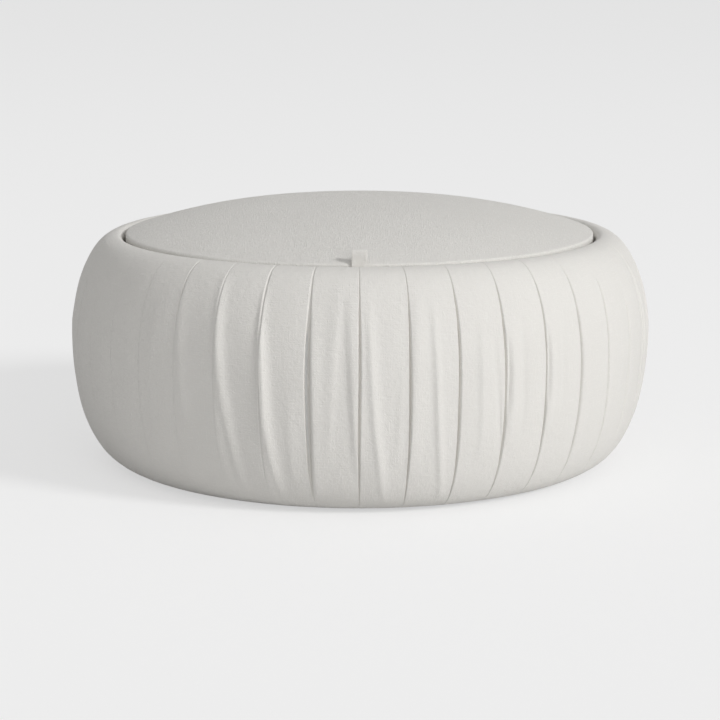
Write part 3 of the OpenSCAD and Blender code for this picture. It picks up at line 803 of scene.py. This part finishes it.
def lid_line(lid_r, edge_r):
    """The lid's outer line from its middle: a dome falling as the radius to the power 2.5, a
    rolled edge that meets it at the same slope, the straight side, the lower corner and the hem."""
    dome_r = lid_r - edge_r * (1 - np.sin(edge_slope))
    radius = dome_r * np.linspace(0, 1, 200)
    height = lid_edge_z + dome_h * (1 - (radius / dome_r) ** dome_power)
    roll = (np.pi / 2 - edge_slope) * (1 - np.linspace(0, 1, 40)[1:])
    corner = -np.radians(np.linspace(0, 90, 20))
    middle_z = lid_edge_z - edge_r * np.cos(edge_slope)
    radius = np.concatenate([radius, lid_r - edge_r + edge_r * np.cos(roll),
                             lid_r - lid_corner_r + lid_corner_r * np.cos(corner), [lid_hem_r]])
    height = np.concatenate([height, middle_z + edge_r * np.sin(roll),
                             lid_z + lid_corner_r + lid_corner_r * np.sin(corner), [lid_z]])
    return radius, height, length_along(radius, height)


def lid_at(places, lid_r=board_lid_r, edge_r=board_edge_r):
    """Points of the lid's line and the outward direction there, at places along it."""
    return placed_along(places, *lid_line(lid_r, edge_r), 0.0008)


def edge_dip(places, turns):
    """How far the lid's edge has been sat down at the front left: it lies lower on top, and its
    side bulges towards the rim. Both fade as exp(-(distance / width) squared)."""
    dip_angle, dip_width = -31, 20
    off = (np.degrees(turns) - dip_angle + 180) % 360 - 180
    lower = 0.0010 * np.exp(-((places - 0.368) / 0.012) ** 2)
    bulge = 0.0034 * np.exp(-((places - 0.389) / 0.010) ** 2)
    return np.exp(-(off / dip_width) ** 2) * (lower - bulge)


cake_depth, cake_foot_z = 0.0072, 0.3339
r, z, out_r, out_z = lid_at(np.concatenate([np.linspace(0, 0.33, 30), np.linspace(0.34, 0.42, 40)]))
cake_r, cake_z = r - cake_depth * out_r, z - cake_depth * out_z
kept = cake_z > cake_foot_z + 0.0006
cake_r = np.maximum(np.concatenate([cake_r[kept], np.linspace(cake_r[kept][-1], 0, 8)]), 0.0)[:, None]
cake_z = np.concatenate([cake_z[kept], np.full(8, cake_foot_z)])[:, None]
shaved = 0.0003 * (1 + np.sin(9 * fine_turns + 60 * cake_r)) * (cake_z > 0.335)
lid_cake = turned_piece("lid_foam_cake", cake_r, cake_z - shaved, fine_turns, "lid", soft_foam, False)
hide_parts("lid_foam")

fleece_front, fleece_back = 0.0021, 0.0069
places = np.concatenate([np.linspace(0, 0.33, 34), np.linspace(0.34, 0.4130, 34)])
r, z, out_r, out_z = lid_at(places)
tufted = 0.0004 * (1 + np.sin(5 * fine_turns + 40 * r[:, None]) * np.sin(50 * r[:, None]))
front = fleece_front + tufted + edge_dip(places[:, None], fine_turns)
layer_r, layer_z = layer_between(r, z, out_r, out_z, front, np.full_like(front, fleece_back))
layer_r[-len(r):] = np.maximum(layer_r[-len(r):], 0)
layer_r[0], layer_r[-1] = 0, 0
layer_z[0], layer_z[-1] = z[0] - 0.0025, z[0] - fleece_back
lid_fleece = turned_piece("lid_wadding_layer", layer_r, layer_z, fine_turns, "lid", fleece, False)
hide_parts("lid_wadding")


# Lid cover
# One round of the cover's cloth drawn tight over the wadding, eased in round the rolled edge,
# and stapled under the board. It lies smooth, with only the faintest pulls near the edge.

lid_total = lid_line(full_lid_r, full_edge_r)[2][-1]
lid_places = np.interp(np.linspace(0, 1, 131), [0, 0.42, 0.52, 0.66, 0.80, 0.92, 1],
                       [0, 0.345, 0.372, 0.382, 0.4155, 0.4240, lid_total])
r, z, out_r, out_z, places = column(*lid_at(lid_places, full_lid_r, full_edge_r), lid_places)
x, y = r * np.sin(fine_turns), r * np.cos(fine_turns)
dented = 0.5 + 0.25 * np.sin(9 * x + 3) * np.sin(11 * y + 1) + 0.25 * np.sin(17 * x - 12 * y)
edge_pull = 0.5 + 0.5 * np.sin(83 * fine_turns + 2 * np.sin(7 * fine_turns))
edge_pull = edge_pull * np.exp(-((places - 0.372) / 0.020) ** 2)
depth = np.clip(0.0007 * dented * np.exp(-(places / 0.39) ** 12) + 0.00022 * edge_pull, 0, 0.0013)
depth[0] = depth[0].mean()
depth = depth + edge_dip(places, fine_turns)
outer, inner = (turned(np.maximum(r - d * out_r, 0) * np.sign(r), z - d * out_z, fine_turns)
                for d in (depth, depth + cloth_t))
spread = np.stack([places * np.sin(fine_turns), -places * np.cos(fine_turns)], axis=-1)
# The same cloth as the side's, with a wider light-to-dark range and its slubs and neps standing out more:
# painted sheen and shade of the nap, as it shows from low down
lid_cloth_painted_sheen = cloth_material("lid cover cloth with painted sheen", (0.915, 0.898, 0.861), (0.717, 0.700, 0.663),
                           cover_thread, 1.6, 0.00030)
lid_cover = skin("lid_cover_round", outer, inner, spread, 3, True, "lid", lid_cloth_painted_sheen)
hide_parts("lid_cover")


# Cloth under the lid
# A round of lining cloth turned in at its edge and stapled over the cover's hem, so that it
# hides the board and the cover's raw edge.

flat_r, flat_z, x, y, below = round_cloth(
    [[0, 0.3187], [0.312, 0.3187], [0.315, 0.3172], [0.326, 0.3172]],
    [[0.326, 0.3160], [0.3155, 0.3160], [0.3115, 0.3174], [0, 0.3174]], 64, 0.309)
soft_wave = 0.0003 * (1 + np.sin(19 * x + 7 * y) * np.sin(16 * y - 9 * x + 2))
edge_wave = 0.0003 * (1 + np.sin(36 * wide_turns)) * np.exp(-((0.306 - flat_r) / 0.02) ** 2)
lid_under = turned_piece("lid_underside_cloth", flat_r, flat_z - below * (soft_wave + edge_wave),
                         wide_turns, "lid", lining_cloth, False, np.stack([x, y], axis=-1))
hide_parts("lid_under_cloth")

staples("lid_underside_staples", "lid", 2.5, 0.3205, 0.31595)


# Pull tab
# A strip of the cover's cloth folded lengthwise, topstitched along both edges, doubled into a
# loop, and sewn in at the lid's edge. Its front ply comes up out of the groove, and it stands.

tab_y, tab_z, tab_half = -0.37128, 0.36188, 0.011
ply_t, loop_r, loop_z = 0.0016, 0.0028, 0.0168
front_y, front_z, _ = resampled([[-0.0032, -0.0115], [-0.0028, -0.0060], [-0.0026, -0.0010],
                                 [-0.0029, 0.0040], [-0.0033, 0.0085], [-0.0033, 0.0125],
                                 [-loop_r, loop_z]], 24)
back_y, back_z, _ = resampled([[loop_r, loop_z], [0.0026, 0.0120], [0.0020, 0.0080], [0.0014, 0.0040],
                               [0.0011, -0.0004]], 14)
fold = np.radians(np.linspace(180, 0, 15))[1:-1]
centre_y, centre_z = column(np.concatenate([front_y, loop_r * np.cos(fold), back_y]),
                            np.concatenate([front_z, loop_z + loop_r * np.sin(fold), back_z]))
step_y, step_z = np.gradient(centre_y, axis=0), np.gradient(centre_z, axis=0)
size = np.hypot(step_y, step_z)


def twisted(x, y, z):
    """Points of the tab, from its hinge, turned about an upright line a little right of its
    middle, by nothing at its foot and by eight degrees 8 mm up, so that its left edge lies back."""
    pivot_x = 0.005
    share = np.clip((z + 0.002) / 0.010, 0, 1)
    turn = -np.radians(8) * share * share * (3 - 2 * share)
    return np.stack([pivot_x + (x - pivot_x) * np.cos(turn) - y * np.sin(turn),
                     tab_y + (x - pivot_x) * np.sin(turn) + y * np.cos(turn), tab_z + z], -1)


# Round the strip's section: two flat faces with rounded edges
ring_count = 28
round_turn = np.radians(np.linspace(0, 360, ring_count + 1)[:-1])
cosine, sine = np.cos(round_turn), np.sin(round_turn)
across_x = np.sign(cosine) * (tab_half - ply_t / 2) * np.minimum(1, np.abs(cosine) * 1.6) + ply_t / 2 * cosine
across_t = ply_t / 2 * np.sign(sine) * np.abs(sine) ** 0.35
rows = len(centre_y)
band_y, band_z = centre_y - step_z / size * across_t, centre_z + step_y / size * across_t
band = twisted(np.broadcast_to(across_x, band_y.shape), band_y, band_z)
ends = [list(range(ring_count)), list(range((rows - 1) * ring_count, rows * ring_count))[::-1]]
strip_along = length_along(centre_y[:, 0], centre_z[:, 0])
pull_tab = new_piece("folded_pull_tab", band, loop_faces(rows, ring_count, False, True) + ends, None,
                     cover_cloth, strip_map(across_x, strip_along, 1.0))
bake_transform(pull_tab)
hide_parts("pull_tab")

# Stitches up both edges of both faces; those of the back begin above the lid's edge
row_z = np.arange(0.0022, 0.0160, 0.0026)
edges, faced, up = np.array([(side, face, height) for side in (-1, 1) for face in (-1, 1)
                             for height in row_z[face + 1:]]).T
stand = np.where(faced < 0, np.interp(up, front_z, front_y) - ply_t / 2,
                 np.interp(up, back_z[::-1], back_y[::-1]) + ply_t / 2)
middles = twisted(edges * (tab_half - 0.0023), stand, up)
tab_thread = stitches("tab_topstitching", "tab", thread, middles, [(0, 0, 1)] * len(up),
                      [(0, face, 0) for face in faced], 0.0021, 0.0006)


# Setting
# A pale floor in an evenly lit room, with a soft light from the right of the camera, a low broad
# one from the front, a faint one from behind, and the photograph's camera.

def show_apart(tree, output, unseen, seen):
    """Ends a tree in two shaders: one for what the camera sees, also in a mirror or through
    glass, and one for all other light."""
    rays = add(tree, "LightPath").outputs
    either = calc(tree, "ADD", rays["Is Camera Ray"], rays["Is Glossy Ray"])
    share = calc(tree, "MINIMUM", calc(tree, "ADD", either, rays["Is Transmission Ray"]), 1.0)
    mixed = add(tree, "MixShader", {0: share, 1: unseen.outputs[0], 2: seen.outputs[0]})
    add(tree, output, {"Surface": mixed.outputs[0]})


floor_mesh = bpy.data.meshes.new("pale_floor")
floor_points = turned([0.0, 2.0, 8.0, 40.0], np.zeros(4), np.radians(np.arange(0, 360, 5.0)))
floor_mesh.from_pydata(floor_points.reshape(-1, 3).tolist(), [], loop_faces(4, 72, False, True))
merge_doubles(floor_mesh)
floor = bpy.data.objects.new("pale_floor", floor_mesh)
bpy.context.scene.collection.objects.link(floor)

# The camera sees a dull grey plus an even glow that fades behind the pouf; other light meets
# plain grey
paper = bpy.data.materials.new("pale paper")
paper.use_nodes = True
tree = paper.node_tree
tree.nodes.clear()
dull = add(tree, "BsdfDiffuse", {"Color": (0.72, 0.72, 0.72, 1)})
shaded = add(tree, "BsdfDiffuse", {"Color": (0.45, 0.45, 0.45, 1)})
behind_pouf = calc(tree, "MAXIMUM", calc(tree, "SUBTRACT", separated(tree, own_place(tree))[1], 0.8), 0.0)
fade = calc(tree, "EXPONENT", calc(tree, "MULTIPLY", behind_pouf, -0.125))
brightness = calc(tree, "MULTIPLY_ADD", fade, 0.075, 0.465)
glow = add(tree, "Emission", {"Color": (1, 1, 1, 1), "Strength": brightness})
both = add(tree, "AddShader", {0: shaded.outputs[0], 1: glow.outputs[0]})
show_apart(tree, "OutputMaterial", dull, both)
floor_mesh.materials.append(paper)

world = bpy.data.worlds.new("pale room")
bpy.context.scene.world = world
world.use_nodes = True
tree = world.node_tree
tree.nodes.clear()
even_light = add(tree, "Background", {"Color": (1, 1, 1, 1), "Strength": 0.405})
wall_light = add(tree, "Background", {"Color": (1, 1, 1, 1), "Strength": 0.80})
show_apart(tree, "OutputWorld", even_light, wall_light)


def soft_light(name, angle, elevation, spread, strength):
    """Far light from an angle round from the front and a height angle, spread over some degrees;
    a white surface that faces it gets a brightness of strength."""
    lamp = bpy.data.lights.new(name, "SUN")
    lamp.energy, lamp.angle = strength * np.pi, np.radians(spread)
    holder = bpy.data.objects.new(name, lamp)
    holder.rotation_euler = (np.pi / 2 - np.radians(elevation), 0, np.radians(angle))
    bpy.context.scene.collection.objects.link(holder)


soft_light("key", 58, 28, 13, 0.486)
soft_light("front fill", 20, 3, 30, 0.28)
soft_light("back fill", -130, 45, 60, 0.035)

camera_tilt = 11.284
camera = bpy.data.cameras.new("camera")
camera.sensor_width = 36.0
camera.lens = 103.65
holder = bpy.data.objects.new("camera", camera)
holder.location = (0.00097, -3.30035, 0.80601)
holder.rotation_euler = (np.radians(90 - camera_tilt), 0, 0)
bpy.context.scene.collection.objects.link(holder)
bpy.context.scene.camera = holder
bpy.context.scene.view_settings.view_transform = "Standard"
